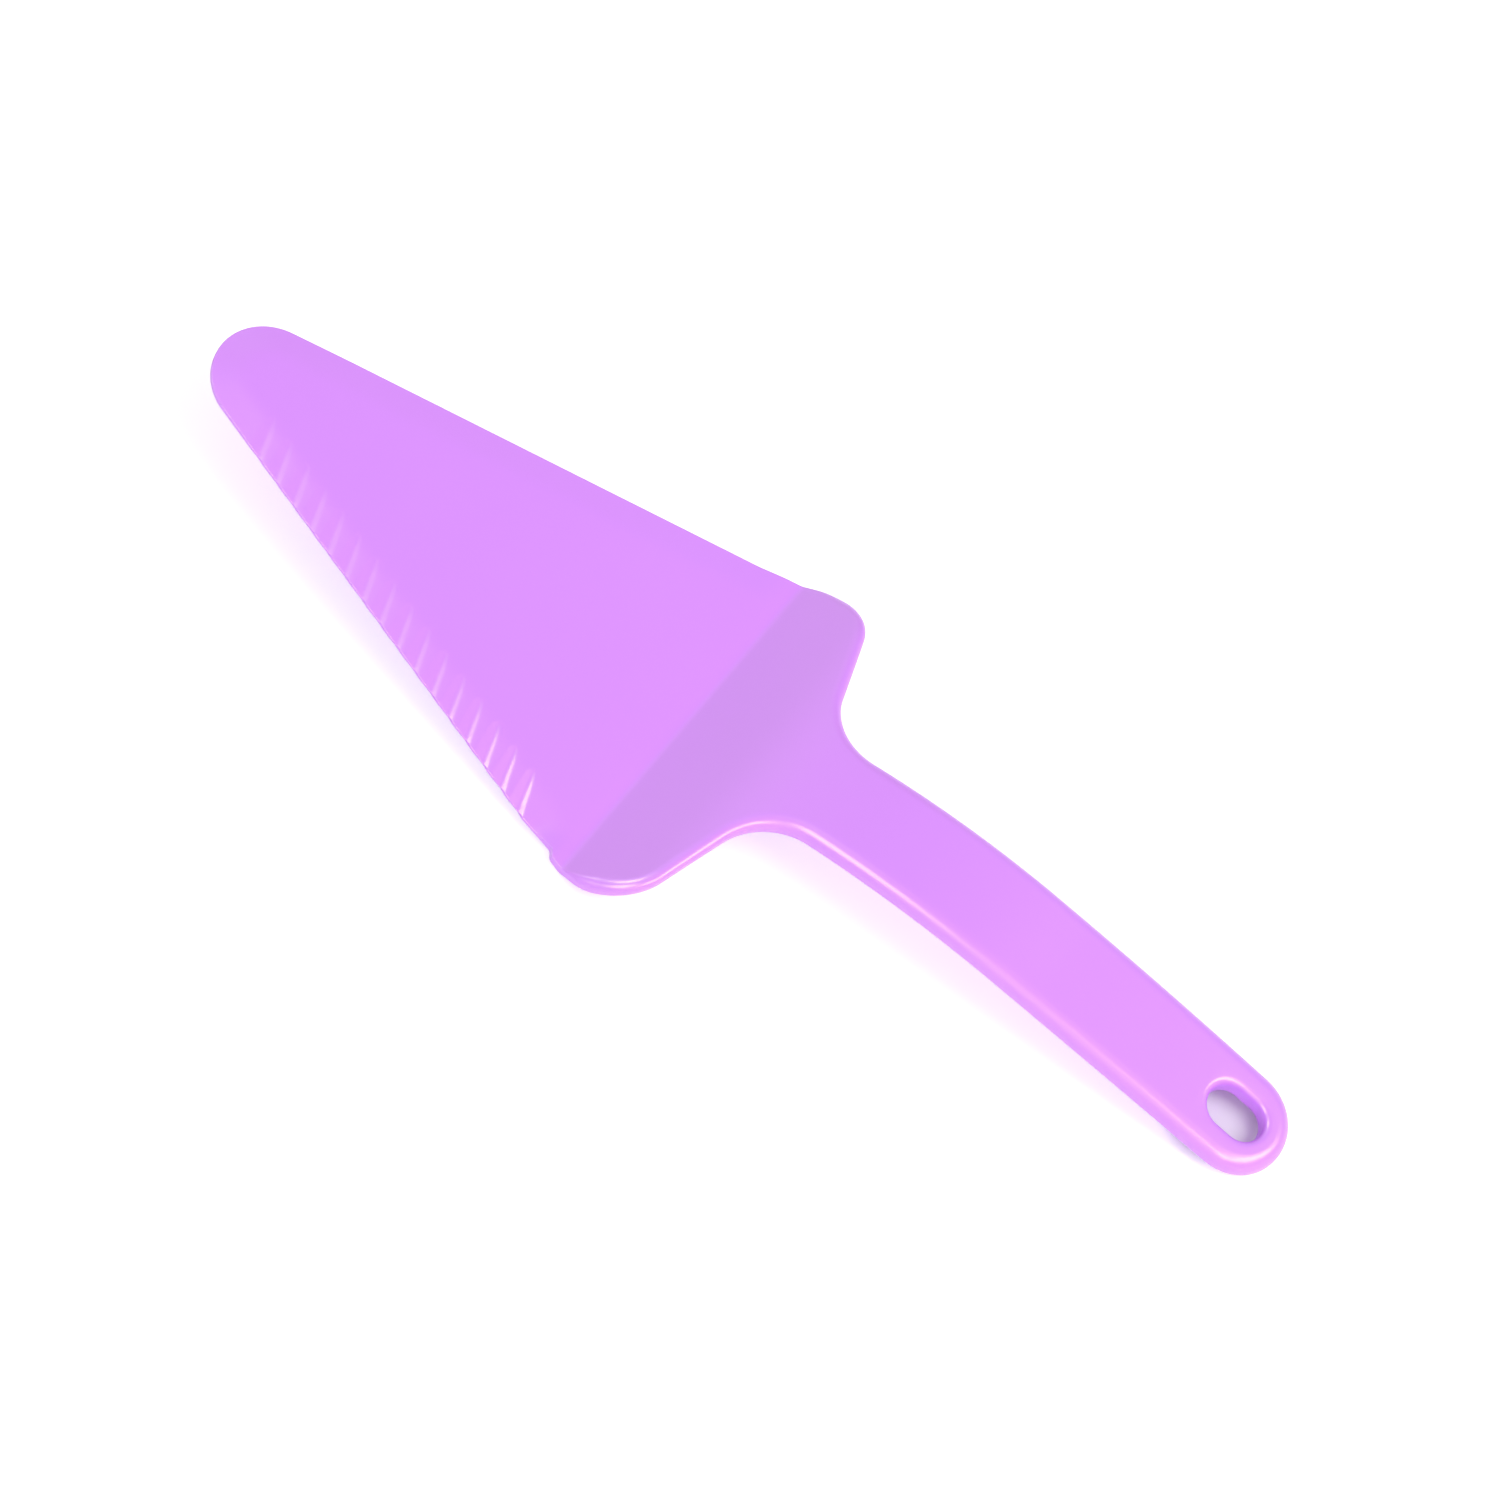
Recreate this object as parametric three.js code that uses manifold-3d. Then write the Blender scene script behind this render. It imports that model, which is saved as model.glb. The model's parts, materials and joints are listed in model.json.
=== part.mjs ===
// Cake server moulded in lilac plastic: a flat tapered blade with one serrated edge, a raised
// shoulder, and a gently arched handle with a hang slot near its end.
// The moulding is split at its natural lines into blade, serrated edge, shoulder, handle and
// hang eye, which meet face to face.
// Millimetres. While it is drawn the blade lies flat on z = 0, the crease between blade and
// shoulder is at x = 0, the tip points to -x, the handle to +x and the serrated edge to -y.
// The finished group leans back on its heel and its handle end, as the object comes to rest.

import * as THREE from 'three';
import { mergeVertices } from 'three/addons/utils/BufferGeometryUtils.js';
import Module from 'manifold-3d';

const wasm = await Module();
wasm.setup();

// Blade
const bladeLength = 105.8; // crease to tip
const creaseWidth = 75; // across the blade at the crease
const tipRadius = 10.7;
const bladeThickness = 2;
const bevelWidth = 5.5; // the edges thin out over this band
const edgeThickness = 0.9;
const edgeRadius = 0.25; // underside of the blade's edge

// Serrated edge
const toothPitch = 5.2;
const firstTooth = 12.8; // along the edge, from the crease
const plainBeforeTip = 10; // straight edge left smooth at least this far
const grooveReach = 5.4; // how far a groove runs in, square to the edge
const grooveSlant = 33; // degrees, leaning towards the tip
const grooveRadius = 1.7;
const grooveDepth = 0.5; // at the edge
const grooveMargin = 1.1; // plain band around the grooves

// Shoulder
const shoulderDepth = 18.6; // crease to the middle of the back edge
const backEdgeAngle = 73.9; // degrees from the long axis
const cornerRadius = 9.9;
const neckRadius = 11.8;
const heelBlend = 8; // the bevel turns into a rounded edge over this length

// Side profile
const creaseRadius = 5;
const riserAngle = 36; // degrees
const shoulderRadius = 39.6;
const neckAngle = 17.8; // degrees, where the shoulder runs into the handle's sweep
const sweepRadius = 154;
const handleRise = 21.5; // handle's highest place above the blade's top
const endDrop = 1.5; // the handle bends down this far towards its end

// Handle
const handleLength = 127.6; // crease to the end
const neckWidth = 20.2;
const gripWidth = 20.7;
const endWidth = 19.8;
const neckThickness = 3.8;
const endThickness = 3.9;
const topRadius = 2.4; // rounded upper edge of shoulder and neck
const endTopRadius = 2.7; // the same edge at the handle's end
const bottomRadius = 0.6;

// Hang slot
const slotLength = 11.3;
const slotWidth = 8.2;
const slotFromEnd = 10.7; // slot's middle to the end of the handle
const lipRadius = 0.9; // rounded rim of the slot, above
const lipRadiusBelow = 0.5;
const eyeMargin = 4; // solid ahead of the slot that belongs to the hang eye

// Finish
const lilac = 0xe096ff;
const plasticRoughness = 0.32;

// Facets
const tipSteps = 9;
const sideSteps = 12;
const heelSteps = 8;
const cornerSteps = 10;
const backSteps = 2;
const neckSteps = 8;
const gripSteps = 20;
const endSteps = 10;
const topSteps = 5;
const bottomSteps = 3;
const slotSteps = 12;
const lipSteps = 4;
const grooveSides = 18;
const cutMargin = 5; // how far a cutter stands clear of what it cuts
const weldDistance = 1e-5; // points closer than this are one point

// Helpers
const radians = THREE.MathUtils.degToRad;
const mix = THREE.MathUtils.lerp;
const smooth = (from, to, x) => THREE.MathUtils.smoothstep(x, from, to);
const share = (from, to, x) => THREE.MathUtils.clamp((x - from) / (to - from), 0, 1);

// Side profile: crease arc, straight riser, shoulder arc, long sweep, handle bending down a little
const riser = radians(riserAngle);
const neck = radians(neckAngle);
const creaseStart = -creaseRadius * Math.tan(riser / 2);
const riserStart = creaseStart + creaseRadius * Math.sin(riser);
const riserFoot = bladeThickness + creaseRadius * (1 - Math.cos(riser));
const shoulderClimb = shoulderRadius * (Math.cos(neck) - Math.cos(riser));
const sweepClimb = sweepRadius * (1 - Math.cos(neck));
const handleTop = bladeThickness + handleRise;
const riserHead = handleTop - sweepClimb - shoulderClimb;
const riserEnd = riserStart + (riserHead - riserFoot) / Math.tan(riser);
const sweepStart = riserEnd + shoulderRadius * (Math.sin(riser) - Math.sin(neck));
const sweepEnd = sweepStart + sweepRadius * Math.sin(neck);
const slotMiddle = handleLength - slotFromEnd;
const eyeStart = slotMiddle - slotLength / 2 - eyeMargin;

function arcHeight(x, middle, base, radius) {
  return base + Math.sqrt(radius * radius - (x - middle) ** 2);
}

function topHeight(x) {
  if (x <= creaseStart) return bladeThickness;
  if (x <= riserStart) {
    const arcTop = bladeThickness + creaseRadius;
    return arcTop - Math.sqrt(creaseRadius ** 2 - (x - creaseStart) ** 2);
  }
  if (x <= riserEnd) return riserFoot + (x - riserStart) * Math.tan(riser);
  if (x <= sweepStart) {
    const middle = riserEnd + shoulderRadius * Math.sin(riser);
    return arcHeight(x, middle, riserHead - shoulderRadius * Math.cos(riser), shoulderRadius);
  }
  if (x <= sweepEnd) return arcHeight(x, sweepEnd, handleTop - sweepRadius, sweepRadius);
  return handleTop - endDrop * share(sweepEnd, handleLength, x) ** 2;
}

// Outline of one half, seen from above, as points with their outward normals
function arcPoints(centre, radius, from, to, steps, bulge) {
  return Array.from({ length: steps + 1 }, (_, i) => {
    const angle = mix(from, to, i / steps);
    const ray = new THREE.Vector2(Math.cos(angle), Math.sin(angle));
    return { at: ray.clone().multiplyScalar(radius).add(centre), out: ray.multiplyScalar(bulge) };
  });
}

function linePoints(from, to, steps) {
  const along = to.clone().sub(from).normalize();
  const out = new THREE.Vector2(-along.y, along.x);
  return Array.from({ length: steps - 1 }, (_, i) => {
    return { at: from.clone().lerp(to, (i + 1) / steps), out: out.clone() };
  });
}

const tipCentre = new THREE.Vector2(tipRadius - bladeLength, 0);
const creaseEnd = new THREE.Vector2(0, creaseWidth / 2);
const tipToCrease = creaseEnd.clone().sub(tipCentre);
const taper = tipToCrease.angle() - Math.asin(tipRadius / tipToCrease.length());
const back = radians(backEdgeAngle);
const backMiddle = new THREE.Vector2(shoulderDepth, creaseWidth / 4);
const sideOut = new THREE.Vector2(-Math.sin(taper), Math.cos(taper));
const backOut = new THREE.Vector2(Math.sin(back), Math.cos(back));

// Where the two lines meet that lie at the given distances along the given normals
function crossing(normalA, distanceA, normalB, distanceB) {
  const span = normalA.cross(normalB);
  return new THREE.Vector2(
    (distanceA * normalB.y - distanceB * normalA.y) / span,
    (distanceB * normalA.x - distanceA * normalB.x) / span,
  );
}

const axisOut = new THREE.Vector2(0, 1);
const cornerCentre = crossing(
  sideOut, sideOut.dot(creaseEnd) - cornerRadius,
  backOut, backOut.dot(backMiddle) - cornerRadius,
);
const neckCentre = crossing(
  backOut, backOut.dot(backMiddle) + neckRadius,
  axisOut, neckWidth / 2 + neckRadius,
);
const neckEnd = neckCentre.x;

// The handle's sides bow gently from the neck through the grip to the end
function gripPoints() {
  const endStart = handleLength - endWidth / 2;
  const length = endStart - neckEnd;
  const bow = 2 * gripWidth - neckWidth - endWidth;
  return Array.from({ length: gripSteps - 1 }, (_, i) => {
    const t = (i + 1) / gripSteps;
    const half = (mix(neckWidth, endWidth, t) + bow * 2 * t * (1 - t)) / 2;
    const slope = (endWidth - neckWidth + bow * 2 * (1 - 2 * t)) / 2 / length;
    return {
      at: new THREE.Vector2(neckEnd + t * length, half),
      out: new THREE.Vector2(-slope, 1).normalize(),
    };
  });
}

function halfOutline() {
  const up = Math.PI / 2;
  const tip = arcPoints(tipCentre, tipRadius, Math.PI, up + taper, tipSteps, 1);
  const corner = arcPoints(cornerCentre, cornerRadius, up + taper, up - back, cornerSteps, 1);
  const inner = arcPoints(neckCentre, neckRadius, -up - back, -up, neckSteps, -1);
  const endCentre = new THREE.Vector2(handleLength - endWidth / 2, 0);
  const end = arcPoints(endCentre, endWidth / 2, up, 0, endSteps, 1);
  const tipSide = tip.at(-1).at;
  const heelSide = creaseEnd.clone().lerp(tipSide, heelBlend / creaseEnd.distanceTo(tipSide));
  const heel = { at: heelSide, out: sideOut.clone() };
  return [
    ...tip,
    ...linePoints(tipSide, heelSide, sideSteps),
    heel,
    ...linePoints(heelSide, corner[0].at, heelSteps),
    ...corner,
    ...linePoints(corner.at(-1).at, inner[0].at, backSteps),
    ...inner,
    ...gripPoints(),
    ...end,
  ];
}

// Thickness from the blade through the shoulder to the handle's end
function thickness(x) {
  const shoulder = smooth(creaseStart, creaseStart + heelBlend, x);
  const handle = share(neckEnd, slotMiddle, x);
  return mix(bladeThickness, neckThickness, shoulder) + (endThickness - neckThickness) * handle;
}

// The edge's own section, from the underside round to the top: how far each row lies in from
// the outline, and how far above the underside or below the top
function edgeRows(x) {
  const heel = smooth(creaseStart, creaseStart + heelBlend, x);
  const lower = mix(edgeRadius, bottomRadius, heel);
  const upper = mix(topRadius, endTopRadius, smooth(neckEnd, slotMiddle, x));
  const below = Array.from({ length: bottomSteps + 1 }, (_, i) => {
    const angle = (i / bottomSteps) * Math.PI / 2;
    return { inset: lower * (1 - Math.sin(angle)), lift: lower * (1 - Math.cos(angle)) };
  });
  const above = Array.from({ length: topSteps + 1 }, (_, i) => {
    const t = i / topSteps;
    const angle = t * Math.PI / 2;
    const bevelDrop = (bladeThickness - edgeThickness) * (1 - t);
    return {
      inset: mix(bevelWidth * t, upper * (1 - Math.cos(angle)), heel),
      drop: mix(bevelDrop, upper * (1 - Math.sin(angle)), heel),
    };
  });
  return [...below, ...above];
}

// A closed solid from a stack of rings that all have the same number of points. The first and
// the last ring are closed with the strips that capStrips gives.
function ringSolid(rings, capStrips) {
  const count = rings[0].length;
  const index = [];
  for (let r = 0; r + 1 < rings.length; r += 1) {
    for (let i = 0; i < count; i += 1) {
      const next = (i + 1) % count;
      const a = r * count + i;
      const b = r * count + next;
      index.push(a, b, b + count, a, b + count, a + count);
    }
  }
  const last = (rings.length - 1) * count;
  for (const [a, b, c] of capStrips(count)) {
    index.push(a, c, b, last + a, last + b, last + c);
  }
  const geometry = new THREE.BufferGeometry();
  const flat = rings.flat().flatMap((point) => point.toArray());
  geometry.setAttribute('position', new THREE.Float32BufferAttribute(flat, 3));
  geometry.setIndex(index);
  return geometry;
}

// Ring points run down the near side and back up the far side, so point i faces point count - i
function ladder(count) {
  const strips = [];
  for (let i = 0; i < count / 2; i += 1) {
    const far = (count - i) % count;
    const farNext = count - i - 1;
    if (far !== i) strips.push([i, i + 1, far]);
    if (farNext !== i + 1) strips.push([i + 1, farNext, far]);
  }
  return strips;
}

function fan(count) {
  return Array.from({ length: count - 2 }, (_, i) => [0, i + 1, i + 2]);
}

function mouldingGeometry() {
  const half = halfOutline();
  const sections = half.map((point) => edgeRows(point.at.x));
  const rings = sections[0].map((_, row) => {
    const far = half.map((point, i) => {
      const { inset, lift, drop } = sections[i][row];
      const { x, y } = point.at.clone().addScaledVector(point.out, -inset);
      const top = topHeight(x);
      const z = drop === undefined ? top - thickness(x) + lift : top - drop;
      return new THREE.Vector3(x, y, z);
    });
    far[0].y = 0;
    far.at(-1).y = 0;
    const near = far.map((point) => new THREE.Vector3(point.x, -point.y, point.z));
    return [...near, ...far.slice(1, -1).reverse()];
  });
  return ringSolid(rings, ladder);
}

// Cutter for the hang slot: a straight-sided slot whose rims flare out above and below. Heights in
// its profile count from the handle's top, which the rims follow.
function slotGeometry() {
  const straight = (slotLength - slotWidth) / 2;
  const bottom = -endThickness;
  const profile = [[slotWidth / 2 + lipRadiusBelow, bottom - cutMargin]];
  for (let i = 0; i <= lipSteps; i += 1) {
    const angle = (i / lipSteps) * Math.PI / 2;
    const inset = lipRadiusBelow * (1 - Math.sin(angle));
    profile.push([slotWidth / 2 + inset, bottom + lipRadiusBelow * (1 - Math.cos(angle))]);
  }
  for (let i = 0; i <= lipSteps; i += 1) {
    const angle = (i / lipSteps) * Math.PI / 2;
    const flare = lipRadius * (1 - Math.cos(angle));
    profile.push([slotWidth / 2 + flare, -lipRadius * (1 - Math.sin(angle))]);
  }
  profile.push([slotWidth / 2 + lipRadius, cutMargin]);
  const rings = profile.map(([radius, above]) => {
    const turn = Array.from({ length: slotSteps + 1 }, (_, i) => (i / slotSteps - 0.5) * Math.PI);
    const endPoint = (angle, side) => {
      const x = slotMiddle + side * (straight + radius * Math.cos(angle));
      return new THREE.Vector3(x, side * radius * Math.sin(angle), topHeight(x) + above);
    };
    return [...turn.map((angle) => endPoint(angle, 1)), ...turn.map((angle) => endPoint(angle, -1))];
  });
  return ringSolid(rings, fan);
}

// Frame of the serrated edge: along it towards the tip, and inwards across the blade
const nearCrease = new THREE.Vector3(0, -creaseWidth / 2, 0);
const towardsTip = new THREE.Vector3(-Math.cos(taper), Math.sin(taper), 0);
const inwards = new THREE.Vector3(Math.sin(taper), Math.cos(taper), 0);
const straightEdge = Math.sqrt(tipToCrease.lengthSq() - tipRadius ** 2);
const toothCount = 1 + Math.floor((straightEdge - firstTooth - plainBeforeTip) / toothPitch);
const slant = radians(grooveSlant);
const grooveAway = inwards.clone().multiplyScalar(Math.cos(slant));
grooveAway.addScaledVector(towardsTip, Math.sin(slant));

// One groove: a round bar laid on the bevel, deepest at the edge and running out where it ends
function grooveGeometry(number) {
  const bevelSlope = (bladeThickness - edgeThickness) / bevelWidth;
  const start = nearCrease.clone().addScaledVector(towardsTip, firstTooth + number * toothPitch);
  start.z = edgeThickness - grooveDepth + grooveRadius;
  const stop = start.clone().addScaledVector(grooveAway, grooveReach / Math.cos(slant));
  stop.z = edgeThickness + bevelSlope * grooveReach + grooveRadius;
  const along = stop.clone().sub(start).normalize();
  const length = start.distanceTo(stop) + 2 * cutMargin;
  const bar = new THREE.CylinderGeometry(grooveRadius, grooveRadius, length, grooveSides);
  bar.applyQuaternion(new THREE.Quaternion().setFromUnitVectors(new THREE.Vector3(0, 1, 0), along));
  return bar.translate(...start.add(stop).multiplyScalar(0.5).toArray());
}

// Cutter for the band along the edge that holds the grooves
function bandGeometry() {
  const run = firstTooth + (toothCount - 1) * toothPitch + grooveReach * Math.tan(slant);
  const length = run + grooveRadius + grooveMargin;
  const width = grooveReach + grooveMargin;
  const height = bladeThickness + 2 * cutMargin;
  const box = new THREE.BoxGeometry(length + cutMargin, width + cutMargin, height);
  box.translate((length - cutMargin) / 2, (width - cutMargin) / 2, 0);
  const basis = new THREE.Matrix4().makeBasis(towardsTip, inwards, new THREE.Vector3(0, 0, -1));
  return box.applyMatrix4(basis).translate(nearCrease.x, nearCrease.y, bladeThickness / 2);
}

// Cutter for everything between two stations along the object
function stretchGeometry(from, to) {
  const width = 2 * (cornerCentre.y + cornerRadius + cutMargin);
  const height = 2 * (handleTop + cutMargin);
  return new THREE.BoxGeometry(to - from, width, height).translate((from + to) / 2, 0, 0);
}

// Joining and cutting
function solidOf(geometry) {
  geometry.deleteAttribute('normal');
  geometry.deleteAttribute('uv');
  const welded = mergeVertices(geometry, weldDistance);
  return new wasm.Manifold(new wasm.Mesh({
    numProp: 3,
    vertProperties: welded.attributes.position.array,
    triVerts: Uint32Array.from(welded.index.array),
  }));
}

function geometryOf(solid) {
  const { vertProperties, triVerts } = solid.getMesh();
  const geometry = new THREE.BufferGeometry();
  geometry.setAttribute('position', new THREE.Float32BufferAttribute(vertProperties, 3));
  geometry.setIndex(Array.from(triVerts));
  geometry.computeVertexNormals();
  return geometry;
}

const moulding = solidOf(mouldingGeometry());
const stretch = (from, to) => moulding.intersect(solidOf(stretchGeometry(from, to)));
const wholeBlade = stretch(-bladeLength - cutMargin, 0);
const grooveBand = solidOf(bandGeometry());
let serratedEdge = wholeBlade.intersect(grooveBand);
for (let i = 0; i < toothCount; i += 1) {
  serratedEdge = serratedEdge.subtract(solidOf(grooveGeometry(i)));
}

const solids = {
  blade: wholeBlade.subtract(grooveBand),
  serrated_edge: serratedEdge,
  shoulder: stretch(0, neckEnd),
  handle: stretch(neckEnd, eyeStart),
  hang_eye: stretch(eyeStart, handleLength + cutMargin).subtract(solidOf(slotGeometry())),
};

const pieces = new THREE.Group();
for (const [name, solid] of Object.entries(solids)) {
  const plastic = new THREE.MeshStandardMaterial({
    color: lilac,
    roughness: plasticRoughness,
    metalness: 0,
  });
  const mesh = new THREE.Mesh(geometryOf(solid), plastic);
  mesh.name = name;
  pieces.add(mesh);
}

// Where the object balances, measured along its length
function balancePoint(meshes) {
  const a = new THREE.Vector3();
  const b = new THREE.Vector3();
  const c = new THREE.Vector3();
  let volume = 0;
  let moment = 0;
  for (const { geometry } of meshes) {
    const { position } = geometry.attributes;
    for (let i = 0; i < geometry.index.count; i += 3) {
      a.fromBufferAttribute(position, geometry.index.getX(i));
      b.fromBufferAttribute(position, geometry.index.getX(i + 1));
      c.fromBufferAttribute(position, geometry.index.getX(i + 2));
      const wedge = a.dot(b.clone().cross(c)) / 6;
      volume += wedge;
      moment += wedge * (a.x + b.x + c.x) / 4;
    }
  }
  return moment / volume;
}

// The object rests on the edge of its lower outline, seen from the side, that lies under its
// balance point: this gives that edge's slope
function restLean(meshes) {
  const points = [];
  for (const { geometry } of meshes) {
    const { position } = geometry.attributes;
    for (let i = 0; i < position.count; i += 1) {
      points.push(new THREE.Vector2(position.getX(i), position.getZ(i)));
    }
  }
  points.sort((p, q) => p.x - q.x || p.y - q.y);
  const lower = [];
  for (const point of points) {
    while (lower.length > 1) {
      const run = lower.at(-1).clone().sub(lower.at(-2));
      if (run.cross(point.clone().sub(lower.at(-1))) > 0) break;
      lower.pop();
    }
    lower.push(point);
  }
  const balance = balancePoint(meshes);
  const next = lower.findIndex((point) => point.x > balance);
  return lower[next].clone().sub(lower[next - 1]).angle();
}

pieces.rotation.y = restLean(pieces.children);
const server = new THREE.Group();
server.add(pieces);
server.updateMatrixWorld(true);
const bounds = new THREE.Box3().setFromObject(server, true);
const foot = bounds.getCenter(new THREE.Vector3()).setZ(bounds.min.z);
pieces.position.sub(foot);

export default server;
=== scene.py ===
import json
import math

import bmesh
import bpy
import numpy as np
from mathutils import Matrix, Vector
from mathutils.geometry import tessellate_polygon


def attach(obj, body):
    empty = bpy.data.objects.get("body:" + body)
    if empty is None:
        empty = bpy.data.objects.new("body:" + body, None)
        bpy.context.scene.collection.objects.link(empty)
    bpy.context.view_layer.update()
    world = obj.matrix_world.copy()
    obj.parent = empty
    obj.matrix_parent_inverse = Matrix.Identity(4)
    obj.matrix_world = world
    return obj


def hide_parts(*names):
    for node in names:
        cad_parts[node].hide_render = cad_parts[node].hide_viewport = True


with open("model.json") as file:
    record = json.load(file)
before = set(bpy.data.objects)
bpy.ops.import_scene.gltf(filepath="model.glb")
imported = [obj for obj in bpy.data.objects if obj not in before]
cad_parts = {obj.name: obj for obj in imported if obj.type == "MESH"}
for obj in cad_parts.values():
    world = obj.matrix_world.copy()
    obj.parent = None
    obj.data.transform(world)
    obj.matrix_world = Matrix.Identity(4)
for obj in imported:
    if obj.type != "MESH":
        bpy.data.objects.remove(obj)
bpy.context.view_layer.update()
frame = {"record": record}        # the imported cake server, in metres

# Lengths in the dictionaries are millimetres and angles are degrees. The server is drawn with the
# blade flat, its crease at x = 0, the tip towards -x and the serrated edge towards -y, and is then
# leaned back onto its heel and handle end, as the frame holds it.
millimetre = 0.001
quarterTurn = math.pi / 2

steps = {                        # how finely the skin is divided
    "tip": 40,
    "plain": 12,                 # between the tip and the serrated band
    "teethStep": 0.22,           # millimetres, along the serrated band
    "heel": 24,
    "corner": 40,
    "back": 10,
    "neck": 32,
    "grip": 110,
    "end": 48,
    "below": 6,                  # rows of the rim: lower rounding, upper rounding, band on the top
    "round": 9,
    "band": 22,
    "closeRow": 0.1,             # one more row under the band, this share of it in from the rounding
    "slotTurn": 28,
    "lip": 9,
}


def ease(start, stop, x):        # 0 before start, 1 after stop, smooth between
    t = np.clip((x - start) / (stop - start), 0, 1)
    return t * t * (3 - 2 * t)


def mix(a, b, t):
    return a + (b - a) * t


def softened(value, soft):       # 0 below zero, the value itself above, rounded between
    bend = (np.clip(value, -soft, soft) + soft) ** 2 / (4 * soft)
    return np.where(value > soft, value, bend)


blade = {
    "length": 105.8,             # crease to tip
    "creaseWidth": 75.0,
    "tipRadius": 10.7,
    "thickness": 2.0,
    "bevelWidth": 5.5,           # the top slopes down to the edge over this band
    "bevelSoftness": 1.4,        # how far the slope's upper line is softened
    "edgeThickness": 0.8,        # of the serrated edge
    "farEdgeThickness": 1.45,
    "edgeRound": 0.16,           # upper corner of the edge
    "edgeRoundBelow": 0.2,
    "bandWidth": 7.2,            # rows of the rim reach this far in
    "bevelFadeFrom": -9.0,       # the bevel runs out ahead of the crease
    "bevelFadeTo": -2.5,
}
creaseEnd = np.array([0, blade["creaseWidth"] / 2])
tipCentre = np.array([blade["tipRadius"] - blade["length"], 0])
tipToCrease = creaseEnd - tipCentre
tipSpan = np.hypot(*tipToCrease)
taper = math.atan2(tipToCrease[1], tipToCrease[0]) - math.asin(blade["tipRadius"] / tipSpan)
sideOut = np.array([-math.sin(taper), math.cos(taper)])
towardsTip = np.array([-math.cos(taper), -math.sin(taper)])


def bevelDrop(inset, x, side):   # how far the blade's bevel lies below its flat top
    behindTip = ease(-blade["length"], -blade["length"] + 2 * blade["tipRadius"], x)
    atSide = blade["edgeThickness"] if side < 0 else blade["farEdgeThickness"]
    atTip = (blade["edgeThickness"] + blade["farEdgeThickness"]) / 2
    slope = (blade["thickness"] - mix(atTip, atSide, behindTip)) / blade["bevelWidth"]
    short = softened(blade["bevelWidth"] - inset, blade["bevelSoftness"])
    return slope * short * (1 - ease(blade["bevelFadeFrom"], blade["bevelFadeTo"], x))


teeth = {
    "pitch": 5.2,
    "count": 16,
    "first": 12.8,               # along the edge, from the crease
    "reach": 6.6,                # square to the edge
    "slant": 33.0,               # leaning towards the tip
    "depth": 0.46,               # at the edge, beside the crease
    "depthAtTip": 0.44,          # share of that depth left in the groove nearest the tip
    "fade": 2.8,                 # how soon the grooves get shallower, 1 is evenly
    "steepSlope": 0.37,          # wall that faces the tip
    "gentleSlope": 0.2,          # wall that faces the handle
    "softness": 0.1,             # rounding of a groove's bottom
    "crestSoftness": 0.025,      # and of its upper lines
    "runOut": 0.33,              # how slowly a groove gets shallower, 1 is evenly
    "bite": 0.22,                # how far a groove cuts into the outline
    "biteReach": 1.5,
    "bandEnd": 97.1,             # along the edge, where the serrated band stops
    "heelNotch": 0.7,            # the edge draws in this much ahead of the heel
    "heelStep": 4.2,             # along the edge, where it steps out again
    "heelStepWidth": 1.8,
    "heelNotchRun": 7.0,
    "heelSwell": 0.35,           # the heel stands out this far behind the step
    "heelSwellRun": 9.0,
}


def grooveDepth(along, inset):   # at a place along the serrated edge and in from it
    slant = math.radians(teeth["slant"])
    steep, gentle = teeth["steepSlope"], teeth["gentleSlope"]
    spacing = teeth["pitch"] * math.cos(slant)
    turns = (along - inset * math.tan(slant) - teeth["first"]) / teeth["pitch"]
    lopsided = teeth["depth"] * (1 / gentle - 1 / steep) / 2 / spacing
    number = np.clip(np.round(turns - lopsided), 0, teeth["count"] - 1)
    aside = (turns - number) * spacing            # towards the tip
    share = mix(teeth["depthAtTip"], 1, (1 - number / (teeth["count"] - 1)) ** teeth["fade"])
    deep = teeth["depth"] * np.clip(1 - inset / teeth["reach"], 0, 1) ** teeth["runOut"]
    facingTip, facingHandle = deep + aside * steep, deep - aside * gentle
    walls = facingTip - softened(facingTip - facingHandle, teeth["softness"])
    return share * softened(walls, teeth["crestSoftness"])


def heelInset(along):            # the edge draws in ahead of the heel, steps out and swells
    step = teeth["heelStep"]
    ahead = ease(step - teeth["heelStepWidth"], step, along)
    notch = teeth["heelNotch"] * ahead * (1 - np.clip((along - step) / teeth["heelNotchRun"], 0, 1))
    swell = teeth["heelSwell"] * (1 - ahead) * (1 - ease(0, teeth["heelSwellRun"], -along))
    return notch - swell


shoulder = {
    "depth": 18.6,               # crease to the middle of the back edge
    "backAngle": 73.9,           # from the long axis
    "cornerRadius": 9.9,
    "neckRadius": 11.8,
    "heelBlend": 8.0,            # the bevel turns into a rounded edge over this length
    "creaseRadius": 2.2,
    "riserAngle": 36.0,
    "topRadius": 39.6,           # side profile from the riser to the neck
    "neckAngle": 17.8,
    "sweepRadius": 154.0,
}

handle = {
    "rise": 21.5,                # its highest place above the top of the blade
    "endDrop": 1.5,              # it bends down this far towards the end
    "length": 127.6,             # crease to the end
    "neckWidth": 20.2,
    "gripWidth": 20.7,
    "endWidth": 19.8,
    "neckThickness": 3.8,
    "endThickness": 3.9,
    "edgeRound": 2.5,
    "endEdgeRound": 2.7,
    "edgeRoundBelow": 0.6,
    "rimWidth": 0.8,             # flat rows inside the rounded edge
}

hangSlot = {
    "length": 11.3,
    "width": 8.2,
    "fromEnd": 10.7,             # its middle to the end of the handle
    "lip": 1.4,                  # rounded rim, above
    "lipBelow": 0.5,
    "eyeMargin": 4.0,            # the eye starts this far ahead of the slot
}


def lineCrossing(normalA, distanceA, normalB, distanceB):
    return np.linalg.solve(np.array([normalA, normalB]), np.array([distanceA, distanceB]))


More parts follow.
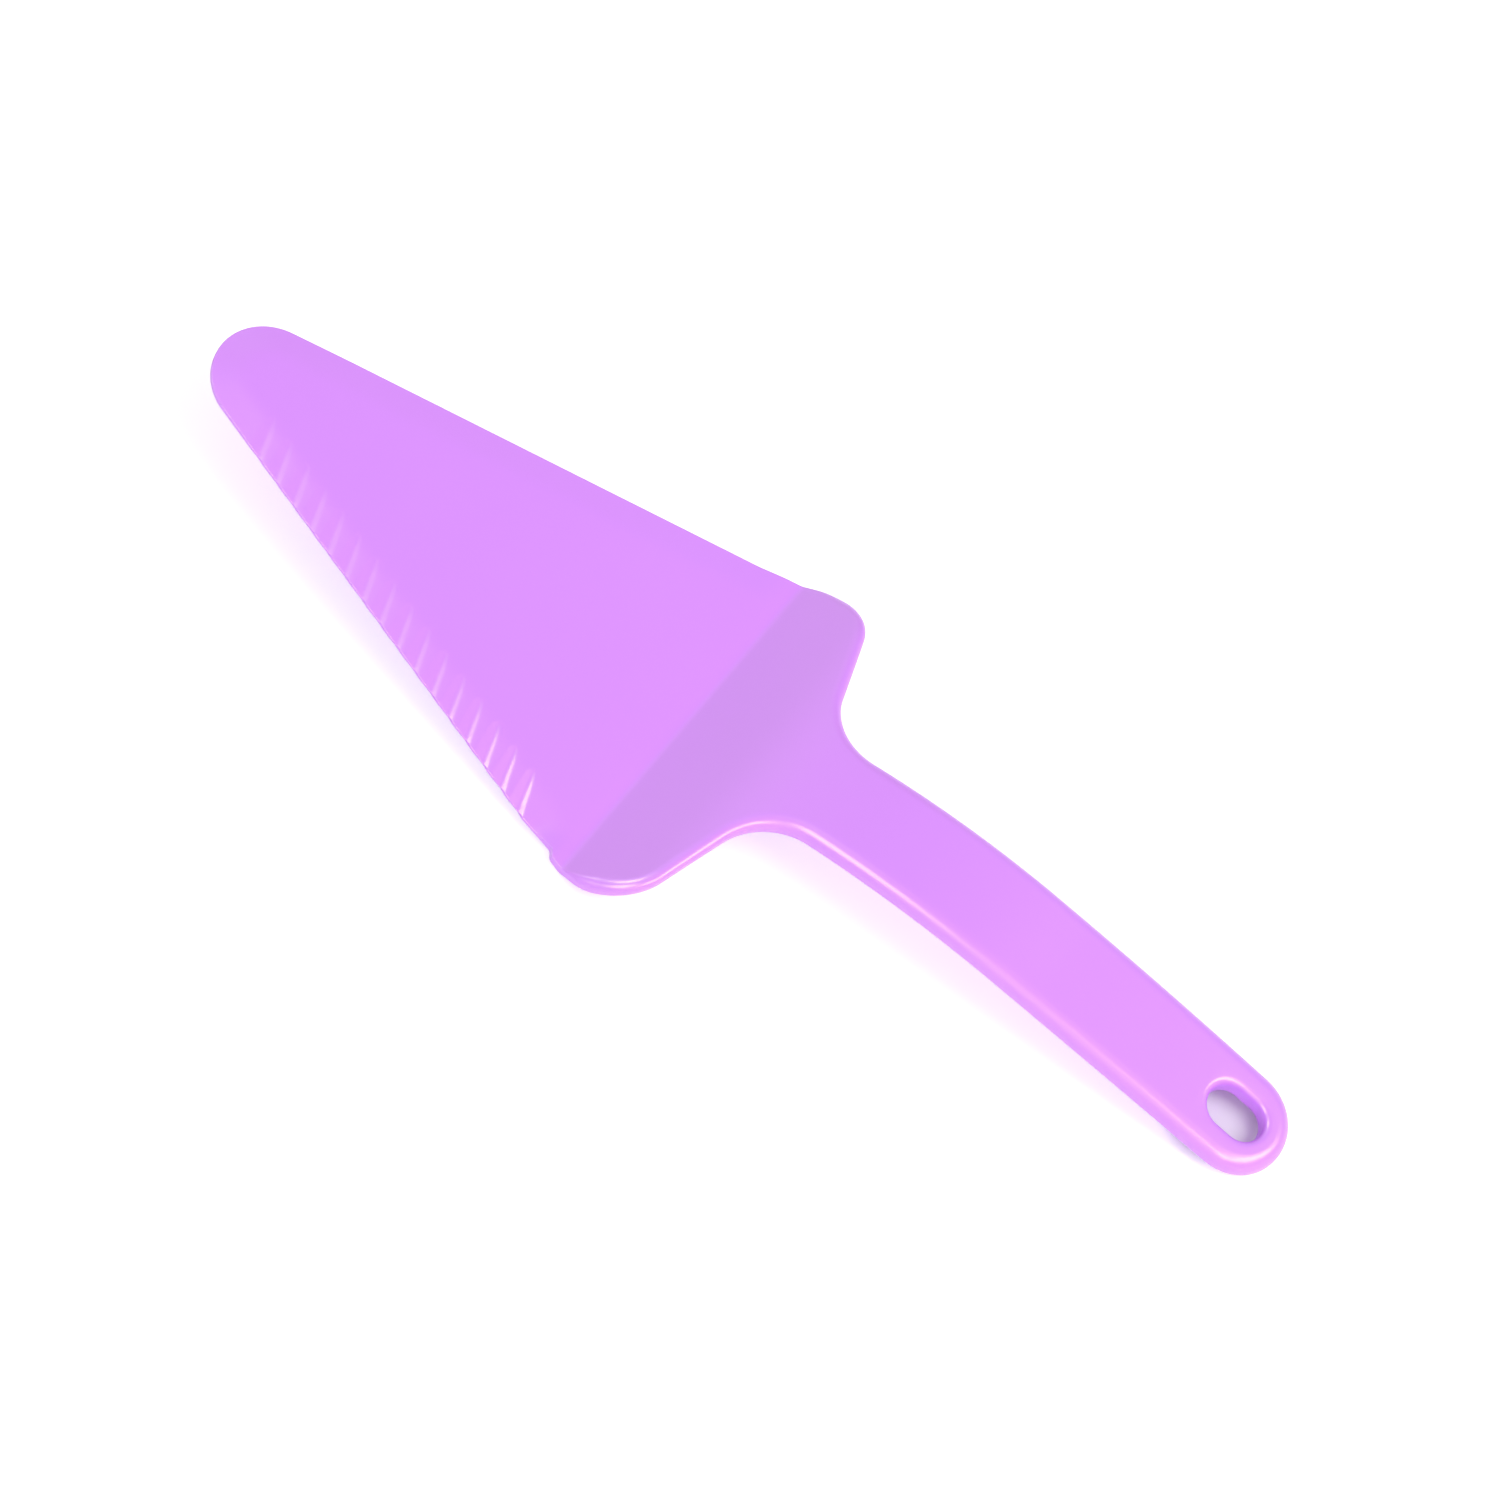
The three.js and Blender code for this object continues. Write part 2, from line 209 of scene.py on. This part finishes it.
# Corners of the plan
back = math.radians(shoulder["backAngle"])
backOut = np.array([math.sin(back), math.cos(back)])
backMiddle = np.array([shoulder["depth"], creaseEnd[1] / 2])
cornerCentre = lineCrossing(
    sideOut, sideOut @ creaseEnd - shoulder["cornerRadius"],
    backOut, backOut @ backMiddle - shoulder["cornerRadius"])
neckCentre = lineCrossing(
    backOut, backOut @ backMiddle + shoulder["neckRadius"],
    (0, 1), handle["neckWidth"] / 2 + shoulder["neckRadius"])
neckEnd = neckCentre[0]
slotMiddle = handle["length"] - hangSlot["fromEnd"]
eyeStart = slotMiddle - hangSlot["length"] / 2 - hangSlot["eyeMargin"]

# Side profile: crease arc, straight riser, shoulder arc, long sweep, handle bending down a little
riser = math.radians(shoulder["riserAngle"])
neck = math.radians(shoulder["neckAngle"])
creaseStart = -shoulder["creaseRadius"] * math.tan(riser / 2)
riserStart = creaseStart + shoulder["creaseRadius"] * math.sin(riser)
riserFoot = blade["thickness"] + shoulder["creaseRadius"] * (1 - math.cos(riser))
handleTop = blade["thickness"] + handle["rise"]
sweepClimb = shoulder["sweepRadius"] * (1 - math.cos(neck))
riserHead = handleTop - sweepClimb - shoulder["topRadius"] * (math.cos(neck) - math.cos(riser))
riserEnd = riserStart + (riserHead - riserFoot) / math.tan(riser)
sweepStart = riserEnd + shoulder["topRadius"] * (math.sin(riser) - math.sin(neck))
sweepEnd = sweepStart + shoulder["sweepRadius"] * math.sin(neck)


def arcHeight(x, middle, base, radius, bend=1):
    return base + bend * np.sqrt(np.maximum(radius ** 2 - (x - middle) ** 2, 0))


def topHeight(x):
    x = np.asarray(x, float)
    creaseRadius, topRadius = shoulder["creaseRadius"], shoulder["topRadius"]
    crease = arcHeight(x, creaseStart, blade["thickness"] + creaseRadius, creaseRadius, -1)
    slope = riserFoot + (x - riserStart) * math.tan(riser)
    topMiddle = riserEnd + topRadius * math.sin(riser)
    top = arcHeight(x, topMiddle, riserHead - topRadius * math.cos(riser), topRadius)
    sweep = arcHeight(x, sweepEnd, handleTop - shoulder["sweepRadius"], shoulder["sweepRadius"])
    gone = np.clip((x - sweepEnd) / (handle["length"] - sweepEnd), 0, 1)
    grip = handleTop - handle["endDrop"] * gone ** 2
    reached = [x <= creaseStart, x <= riserStart, x <= riserEnd, x <= sweepStart, x <= sweepEnd]
    return np.select(reached, [blade["thickness"], crease, slope, top, sweep], grip)


def heelShare(x):                # 0 on the blade, 1 on the shoulder and handle
    return ease(creaseStart, creaseStart + shoulder["heelBlend"], x)


def bottomHeight(x):
    x = np.asarray(x, float)
    thick = mix(blade["thickness"], handle["neckThickness"], heelShare(x))
    grip = np.clip((x - neckEnd) / (slotMiddle - neckEnd), 0, 1)
    return topHeight(x) - thick - (handle["endThickness"] - handle["neckThickness"]) * grip


def slotPoints():                # rings from the lip below up to the lip above
    straight = (hangSlot["length"] - hangSlot["width"]) / 2
    turn = np.linspace(-quarterTurn, quarterTurn, steps["slotTurn"] + 1)
    bend = np.linspace(0, quarterTurn, steps["lip"] + 1)
    opening, closing = 1 - np.cos(bend), 1 - np.sin(bend)
    lips = [
        (bottomHeight, hangSlot["lipBelow"] * closing, hangSlot["lipBelow"] * opening),
        (topHeight, hangSlot["lip"] * opening, -hangSlot["lip"] * closing),
    ]
    rings = []
    for height, flares, lifts in lips:
        for flare, lift in zip(flares, lifts):
            radius = hangSlot["width"] / 2 + flare
            end = np.stack([straight + radius * np.cos(turn), radius * np.sin(turn)], axis=1)
            ring = np.vstack([end, -end]) + (slotMiddle, 0)
            rings.append(np.column_stack([ring, height(ring[:, 0]) + lift]))
    return np.array(rings)


# Outline of one half, seen from above: rows of x, y and the outward normal
def arcStations(centre, radius, start, stop, count, bulge=1):
    angles = np.linspace(start, stop, count + 1)
    ray = np.stack([np.cos(angles), np.sin(angles)], axis=1)
    return np.hstack([centre + radius * ray, bulge * ray])


def lineStations(start, stop, out, count):        # without the two ends
    t = np.linspace(0, 1, count + 1)[1:-1, None]
    points = start + (stop - start) * t
    return np.hstack([points, np.tile(out, (len(points), 1))])


def gripStations():              # the sides bow gently from the neck through the grip to the end
    length = handle["length"] - handle["endWidth"] / 2 - neckEnd
    widths = handle["neckWidth"], handle["endWidth"]
    bow = 2 * handle["gripWidth"] - sum(widths)
    t = np.linspace(0, 1, steps["grip"] + 1)[1:-1]
    half = (mix(*widths, t) + bow * 2 * t * (1 - t)) / 2
    slope = (widths[1] - widths[0] + bow * 2 * (1 - 2 * t)) / 2 / length
    out = np.stack([-slope, np.ones_like(t)], axis=1)
    out /= np.linalg.norm(out, axis=1, keepdims=True)
    return np.hstack([np.stack([neckEnd + t * length, half], axis=1), out])


def halfOutline():
    up = quarterTurn
    tip = arcStations(tipCentre, blade["tipRadius"], math.pi, up + taper, steps["tip"])
    corner = arcStations(
        cornerCentre, shoulder["cornerRadius"], up + taper, up - back, steps["corner"])
    hollow = arcStations(neckCentre, shoulder["neckRadius"], -up - back, -up, steps["neck"], -1)
    endCentre = np.array([handle["length"] - handle["endWidth"] / 2, 0])
    end = arcStations(endCentre, handle["endWidth"] / 2, up, 0, steps["end"])
    bandStart = creaseEnd + towardsTip * teeth["bandEnd"]
    teethSteps = round(teeth["bandEnd"] / steps["teethStep"])
    parts = [
        tip,
        lineStations(tip[-1, :2], bandStart, sideOut, steps["plain"]),
        np.hstack([bandStart, sideOut])[None],
        lineStations(bandStart, creaseEnd, sideOut, teethSteps),
        np.hstack([creaseEnd, sideOut])[None],
        lineStations(creaseEnd, corner[0, :2], sideOut, steps["heel"]),
        corner,
        lineStations(corner[-1, :2], hollow[0, :2], backOut, steps["back"]),
        hollow,
        gripStations(),
        end,
    ]
    return np.vstack(parts)


outline = halfOutline()
outline[[0, -1], 1] = 0          # the tip and the end lie on the axis
stationCount = len(outline)
lastStation = stationCount - 1
print("outline:", stationCount, "stations on each side")


def nearestStation(point):
    return int(np.argmin(np.hypot(*(outline[:, :2] - point).T)))


bandStation = nearestStation(creaseEnd + towardsTip * teeth["bandEnd"])
creaseStation = nearestStation(creaseEnd)
neckStation = nearestStation((neckEnd, handle["neckWidth"] / 2))
eyeStation = int(np.argmin(abs(outline[:, 0] - eyeStart)))


# The rim's section at every station, from the underside round to the top
def rimRows(x):
    heel = heelShare(x)
    below = mix(blade["edgeRoundBelow"], handle["edgeRoundBelow"], heel)
    grip = ease(neckEnd, slotMiddle, x)
    above = mix(blade["edgeRound"], mix(handle["edgeRound"], handle["endEdgeRound"], grip), heel)
    inner = mix(blade["bandWidth"], above + handle["rimWidth"], heel)
    level = np.zeros_like(x)
    rows = [("below", inner, level), ("below", mix(below, inner, steps["closeRow"]), level)]
    for angle in np.linspace(0, quarterTurn, steps["below"] + 1):
        rows.append(("below", below * (1 - math.sin(angle)), below * (1 - math.cos(angle))))
    for angle in np.linspace(0, quarterTurn, steps["round"] + 1):
        rows.append(("above", above * (1 - math.cos(angle)), above * (1 - math.sin(angle))))
    for share in np.linspace(0, 1, steps["band"] + 1)[1:]:
        rows.append(("above", mix(above, inner, share), level))
    return rows, below


def rimPoints(side):             # side -1 is the near, serrated one
    x, y, outX, outY = outline.T
    along = (outline[:, :2] - creaseEnd) @ towardsTip
    toothed = (side < 0) & (along >= 0) & (along <= teeth["bandEnd"])
    nick = np.where(toothed, teeth["bite"] * grooveDepth(along, 0) / teeth["depth"], 0)
    heel = heelInset(along) if side < 0 else np.zeros_like(along)
    rows, below = rimRows(x)
    points = np.empty((stationCount, len(rows), 3))
    for number, (face, inset, offset) in enumerate(rows):
        bite = nick * np.clip(1 - inset / teeth["biteReach"], 0, 1)
        moved = inset + bite + heel * np.clip(1 - inset / blade["bandWidth"], 0, 1)
        rowX = x - outX * moved
        if face == "below":
            rowZ = bottomHeight(rowX) + offset
        else:
            top = topHeight(rowX) - bevelDrop(inset, x, side)
            depth = np.where(toothed, grooveDepth(along, inset), 0)
            floor = bottomHeight(rowX) + below
            rowZ = floor + (top - offset - floor) * (top - depth - floor) / (top - floor)
        points[:, number] = np.stack([rowX, side * (y - outY * moved), rowZ], axis=1)
    return points


near = rimPoints(-1)
far = rimPoints(1)
slot = slotPoints()
rowCount = near.shape[1]
ringSize = slot.shape[1]
topRow = rowCount - 1
slotFirst = 2 * stationCount * rowCount

# Lean and place come from the frame: the mount under the blade was drawn at this point, facing down
underside = {"mount": "blade_underside", "drawnAt": (-45.0, 4.0, 0.0)}
mount = next(m for m in frame["record"]["mounts"] if m["name"] == underside["mount"])
lean = math.atan2(-mount["axis"][0], -mount["axis"][2])
turnBack = Matrix.Rotation(lean, 4, "Y")
drawnPoint = Vector(underside["drawnAt"]) * millimetre
drawnToFrame = Matrix.Translation(Vector(mount["pos_m"]) - turnBack @ drawnPoint) @ turnBack


def placed(points):              # drawn millimetres to the frame's metres
    spin = np.array(drawnToFrame.to_3x3())
    return points * millimetre @ spin.T + np.array(drawnToFrame.translation)


skinPoints = placed(np.vstack([near.reshape(-1, 3), far.reshape(-1, 3), slot.reshape(-1, 3)]))
print("skin:", len(skinPoints), "points, leaning", round(math.degrees(lean), 2), "degrees")


# Faces, as numbers of skin points
def pointAt(side, station, row):
    if station in (0, lastStation):
        side = -1                # both sides share the tip and the end
    return ((0 if side < 0 else stationCount) + station) * rowCount + row


def sideFaces(side, first, last):
    return [
        (pointAt(side, i, r), pointAt(side, i + 1, r),
         pointAt(side, i + 1, r + 1), pointAt(side, i, r + 1))
        for i in range(first, last) for r in range(topRow)
    ]


def crossFaces(row, first, last):        # from the near side straight across to the far side
    faces = []
    for i in range(first, last):
        corners = [pointAt(-1, i, row), pointAt(-1, i + 1, row),
                   pointAt(1, i + 1, row), pointAt(1, i, row)]
        faces.append(tuple(dict.fromkeys(corners)))
    return faces


def rimCap(side, station):               # closes one side's rim where two sections meet
    return [tuple(pointAt(side, station, r) for r in range(rowCount))]


def middleCap(station):
    return [(pointAt(-1, station, 0), pointAt(1, station, 0),
             pointAt(1, station, topRow), pointAt(-1, station, topRow))]


def wholeCap(station):
    return rimCap(-1, station) + middleCap(station) + rimCap(1, station)


def bandWall(first, last):               # between the serrated band and the blade
    return [
        (pointAt(-1, i, 0), pointAt(-1, i + 1, 0),
         pointAt(-1, i + 1, topRow), pointAt(-1, i, topRow))
        for i in range(first, last)
    ]


def slotRing(number):
    return [slotFirst + number * ringSize + i for i in range(ringSize)]


def slotWalls():
    faces = []
    for ring in range(len(slot) - 1):
        lower, upper = slotRing(ring), slotRing(ring + 1)
        for i in range(ringSize):
            j = (i + 1) % ringSize
            faces.append((lower[i], lower[j], upper[j], upper[i]))
    return faces


def eyeFaces(row, ring):                 # the face round the hang slot
    border = [pointAt(-1, i, row) for i in range(eyeStation, stationCount)]
    border += [pointAt(1, i, row) for i in range(lastStation - 1, eyeStation - 1, -1)]
    hole = slotRing(ring)
    loops = [[Vector(skinPoints[i]) for i in loop] for loop in (border, hole)]
    numbers = border + hole
    return [tuple(numbers[i] for i in face) for face in tessellate_polygon(loops)]


def bothSides(first, last):
    return sideFaces(-1, first, last) + sideFaces(1, first, last)


def stretch(first, last):
    across = crossFaces(0, first, last) + crossFaces(topRow, first, last)
    return bothSides(first, last) + across


# Each section of the moulding: the faces that show, and those where it meets its neighbours
sections = {
    "blade": (
        sideFaces(1, 0, creaseStation) + sideFaces(-1, 0, bandStation)
        + crossFaces(0, 0, creaseStation) + crossFaces(topRow, 0, creaseStation),
        bandWall(bandStation, creaseStation) + rimCap(-1, bandStation)
        + middleCap(creaseStation) + rimCap(1, creaseStation)),
    "serrated_edge": (
        sideFaces(-1, bandStation, creaseStation),
        bandWall(bandStation, creaseStation) + rimCap(-1, bandStation) + rimCap(-1, creaseStation)),
    "shoulder": (
        stretch(creaseStation, neckStation),
        wholeCap(creaseStation) + wholeCap(neckStation)),
    "handle": (
        stretch(neckStation, eyeStation),
        wholeCap(neckStation) + wholeCap(eyeStation)),
    "hang_eye": (
        bothSides(eyeStation, lastStation)
        + eyeFaces(0, 0) + eyeFaces(topRow, len(slot) - 1) + slotWalls(),
        wholeCap(eyeStation)),
}


def closedMesh(name, faces):             # only the points it needs, its faces turned outwards
    used = sorted({i for face in faces for i in face})
    number = {old: new for new, old in enumerate(used)}
    mesh = bpy.data.meshes.new(name)
    mesh.from_pydata(skinPoints[used].tolist(), [], [[number[i] for i in face] for face in faces])
    work = bmesh.new()
    work.from_mesh(mesh)
    bmesh.ops.recalc_face_normals(work, faces=work.faces)
    work.to_mesh(mesh)
    work.free()
    return mesh, used


def skinNormals():                       # of the whole moulding, so that no seam shows
    mesh, used = closedMesh("whole_skin", [face for skin, _ in sections.values() for face in skin])
    normals = np.zeros((len(skinPoints), 3))
    normals[used] = [vertex.normal for vertex in mesh.vertices]
    bpy.data.meshes.remove(mesh)
    return normals


# Shader sheet: sockets that take part in arithmetic, and one method for every other node
class Wire:
    def __init__(self, sheet, socket):
        self.sheet = sheet
        self.socket = socket

    def math(self, operation, first, second):
        return self.sheet.node("ShaderNodeMath", {"operation": operation}, {0: first, 1: second})

    def __add__(self, other):
        return self.math("ADD", self, other)

    def __radd__(self, other):
        return self.math("ADD", other, self)

    def __sub__(self, other):
        return self.math("SUBTRACT", self, other)

    def __rsub__(self, other):
        return self.math("SUBTRACT", other, self)

    def __mul__(self, other):
        return self.math("MULTIPLY", self, other)

    def __rmul__(self, other):
        return self.math("MULTIPLY", other, self)


class Sheet:
    def __init__(self, tree):
        self.tree = tree
        tree.nodes.clear()

    def node(self, kind, settings=None, inputs=None, output=0):
        made = self.tree.nodes.new(kind)
        for name, value in (settings or {}).items():
            setattr(made, name, value)
        for name, value in (inputs or {}).items():
            if isinstance(value, Wire):
                self.tree.links.new(value.socket, made.inputs[name])
            else:
                made.inputs[name].default_value = value
        return Wire(self, made.outputs[output]) if made.outputs else made

    def blend(self, factor, first, second):      # of two colours, the Mix node's sockets 6 and 7
        colours = {"Factor": factor, 6: first, 7: second}
        return self.node("ShaderNodeMix", {"data_type": "RGBA"}, colours, output=2)

    def lookedAt(self):                          # 1 for the camera, for gloss and through glass
        rays = ["Is Camera Ray", "Is Glossy Ray", "Is Transmission Ray"]
        seen, mirrored, through = [self.node("ShaderNodeLightPath", output=ray) for ray in rays]
        return seen + mirrored + through


def newMaterial(name):
    material = bpy.data.materials.new(name)
    material.use_nodes = True
    return material, Sheet(material.node_tree)


plastic = {
    "lilac": (0.670, 0.215, 0.960, 1),
    "lilacPale": (0.690, 0.232, 0.980, 1),
    "roughness": 0.31,
    "roughnessSpread": 0.05,
    "ior": 1.6,
    "gloss": 1.0,                # specular level
    "grainDepth": 0.000012,      # metres
    "grainStrength": 0.35,
    # noises, with scales per metre: clouds of colour from the moulding, patches of gloss, skin
    "flow": {"Scale": 26.0, "Detail": 3.0, "Roughness": 0.5},
    "handled": {"Scale": 140.0, "Detail": 4.0, "Roughness": 0.6},
    "grain": {"Scale": 2600.0, "Detail": 2.0, "Roughness": 0.5},
}


def lilacPlastic():
    material, sheet = newMaterial("lilac_plastic")
    place = {"Vector": sheet.node("ShaderNodeTexCoord", output="Object")}
    flow = sheet.node("ShaderNodeTexNoise", None, place | plastic["flow"])
    handled = sheet.node("ShaderNodeTexNoise", None, place | plastic["handled"])
    grain = sheet.node("ShaderNodeTexNoise", None, place | plastic["grain"])
    colour = sheet.blend(flow, plastic["lilac"], plastic["lilacPale"])
    roughness = (handled - 0.5) * plastic["roughnessSpread"] + plastic["roughness"]
    bump = sheet.node("ShaderNodeBump", None, {
        "Height": grain, "Strength": plastic["grainStrength"], "Distance": plastic["grainDepth"]})
    surface = sheet.node("ShaderNodeBsdfPrincipled", None, {
        "Base Color": colour, "Roughness": roughness, "Normal": bump, "IOR": plastic["ior"],
        "Specular IOR Level": plastic["gloss"]})
    sheet.node("ShaderNodeOutputMaterial", None, {"Surface": surface})
    return material


# The moulding's sections, each its own object on the root, in place of the CAD part of the same name
lilac = lilacPlastic()
normals = skinNormals()
for node, (skin, seams) in sections.items():
    mesh, used = closedMesh(node + "_skin", skin + seams)
    corners = np.empty((len(mesh.loops), 3))
    for face in mesh.polygons:
        if face.index < len(skin):
            corners[face.loop_indices] = [normals[used[i]] for i in face.vertices]
        else:
            corners[face.loop_indices] = face.normal
    mesh.polygons.foreach_set("use_smooth", [True] * len(mesh.polygons))
    mesh.normals_split_custom_set(corners.tolist())
    piece = bpy.data.objects.new(node + "_skin", mesh)
    bpy.context.scene.collection.objects.link(piece)
    piece.data.materials.append(lilac)
    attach(piece, "root")
    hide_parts(node)
    print("section:", node, len(mesh.polygons), "faces")


floor = {
    "size": 6.0,                 # metres
    "colour": (0.90, 0.90, 0.90, 1),
    "lift": 0.45,                # white added beside the object, for the eye alone
    "farLift": 0.6,              # and towards the edge of the picture, where the lamps fall off
    "liftFrom": 0.05,            # metres from the object's middle
    "liftTo": 0.28,
    "slotShadeFrom": 0.007,           # none is added under the hang slot: painted shade, the floor there and just round it shows darker
    "slotShadeTo": 0.011,
}


def paleFloor():
    material, sheet = newMaterial("pale_floor")
    place = sheet.node("ShaderNodeNewGeometry", output="Position")
    slotPlace = drawnToFrame @ Vector((slotMiddle * millimetre, 0, 0))
    away = sheet.node("ShaderNodeVectorMath", {"operation": "LENGTH"}, {0: place}, output="Value")
    aside = sheet.node("ShaderNodeVectorMath", {"operation": "DISTANCE"}, {
        0: place, 1: (slotPlace.x, slotPlace.y, 0)}, output="Value")
    lift = sheet.node("ShaderNodeMapRange", {"interpolation_type": "SMOOTHSTEP"}, {
        "Value": away, "From Min": floor["liftFrom"], "From Max": floor["liftTo"],
        "To Min": floor["lift"], "To Max": floor["farLift"]})
    # painted shade: the white is held back on the floor under and round the hang slot
    clear = sheet.node("ShaderNodeMapRange", {"interpolation_type": "SMOOTHSTEP"}, {
        "Value": aside, "From Min": floor["slotShadeFrom"], "From Max": floor["slotShadeTo"]})
    shown = sheet.blend(sheet.lookedAt() * lift * clear, (0, 0, 0, 1), (1, 1, 1, 1))
    white = sheet.node("ShaderNodeEmission", None, {"Color": shown, "Strength": 1.0})
    cover = sheet.node("ShaderNodeBsdfDiffuse", None, {"Color": floor["colour"]})
    both = sheet.node("ShaderNodeAddShader", None, {0: cover, 1: white})
    sheet.node("ShaderNodeOutputMaterial", None, {"Surface": both})
    half = floor["size"] / 2
    corners = [(-half, -half, 0), (half, -half, 0), (half, half, 0), (-half, half, 0)]
    mesh = bpy.data.meshes.new("table_top")
    mesh.from_pydata(corners, [], [(0, 1, 2, 3)])
    mesh.materials.append(material)
    table = bpy.data.objects.new("table_top", mesh)
    bpy.context.scene.collection.objects.link(table)


def direction(spot):             # towards it: azimuth from +x to +y, elevation from the table
    azimuth, elevation = math.radians(spot["azimuth"]), math.radians(spot["elevation"])
    level = math.cos(elevation)
    return Vector((math.cos(azimuth) * level, math.sin(azimuth) * level, math.sin(elevation)))


# Distances and sizes of the lamps are metres
lamps = {
    "key_softbox": {"azimuth": 18, "elevation": 50, "distance": 1.4, "size": (0.8, 0.8), "watts": 9.4},
    "near_fill": {"azimuth": -72, "elevation": 24, "distance": 1.0, "size": (0.8, 0.4), "watts": 3.8},
}
cards = {                        # bright cards that show in the gloss and add no light
    "front_card": {"azimuth": -110, "elevation": 40, "distance": 1.0, "size": (0.46, 0.5), "watts": 4.2},
    "heel_card": {"azimuth": -176, "elevation": 50, "distance": 1.0, "size": (0.26, 0.24), "watts": 2.5},
    "tip_card": {"azimuth": 170, "elevation": 74, "distance": 1.0, "size": (0.34, 0.26), "watts": 0.25},
    "neck_card": {"azimuth": -43, "elevation": 43, "distance": 1.2, "size": (0.38, 0.4), "watts": 3.4},
    "handle_card": {"azimuth": 4, "elevation": 40, "distance": 0.9, "size": (0.8, 0.26), "watts": 4.2},
    "rear_card": {"azimuth": 140, "elevation": 32, "distance": 1.0, "size": (0.7, 0.8), "watts": 0.9},
}
room = {"light": 0.52, "seen": 1.0}


def hangLamp(name, lamp, gloss):
    light = bpy.data.lights.new(name, "AREA")
    light.shape = "RECTANGLE"
    light.size, light.size_y = lamp["size"]
    light.energy = lamp["watts"]
    away = direction(lamp)
    holder = bpy.data.objects.new(name, light)
    holder.location = away * lamp["distance"]
    holder.rotation_euler = away.to_track_quat("Z", "Y").to_euler()
    holder.visible_diffuse = not gloss
    holder.visible_glossy = gloss
    bpy.context.scene.collection.objects.link(holder)


def studio():
    for name, lamp in lamps.items():
        hangLamp(name, lamp, gloss=False)
    for name, card in cards.items():
        hangLamp(name, card, gloss=True)
    world = bpy.data.worlds.new("studio_room")
    world.use_nodes = True
    bpy.context.scene.world = world
    sheet = Sheet(world.node_tree)
    strength = room["light"] + sheet.lookedAt() * (room["seen"] - room["light"])
    sky = sheet.node("ShaderNodeBackground", None, {"Color": (1, 1, 1, 1), "Strength": strength})
    sheet.node("ShaderNodeOutputWorld", None, {"Surface": sky})


view = {                         # in the drawn frame, before the lean
    "target": (11.69, 4.57, 2.0),
    "azimuth": -89.148,          # almost straight in front of the serrated side
    "elevation": 60.0,
    "roll": 39.233,
    "distance": 1148.0,
    "lens": 156.0,
    "sensor": 36.0,
}


def photographView():
    backward = direction(view)
    across = Vector((0, 0, 1)).cross(backward).normalized()
    upward = backward.cross(across)
    stand = Matrix((across, upward, backward)).transposed().to_4x4()
    stand.translation = (Vector(view["target"]) + backward * view["distance"]) * millimetre
    lens = bpy.data.cameras.new("photograph_view")
    lens.lens, lens.sensor_width = view["lens"], view["sensor"]
    camera = bpy.data.objects.new("photograph_view", lens)
    camera.matrix_world = drawnToFrame @ stand @ Matrix.Rotation(math.radians(view["roll"]), 4, "Z")
    bpy.context.scene.collection.objects.link(camera)
    bpy.context.scene.camera = camera


paleFloor()
studio()
photographView()
bpy.context.scene.view_settings.view_transform = "Standard"
print("stage, lamps and camera set")
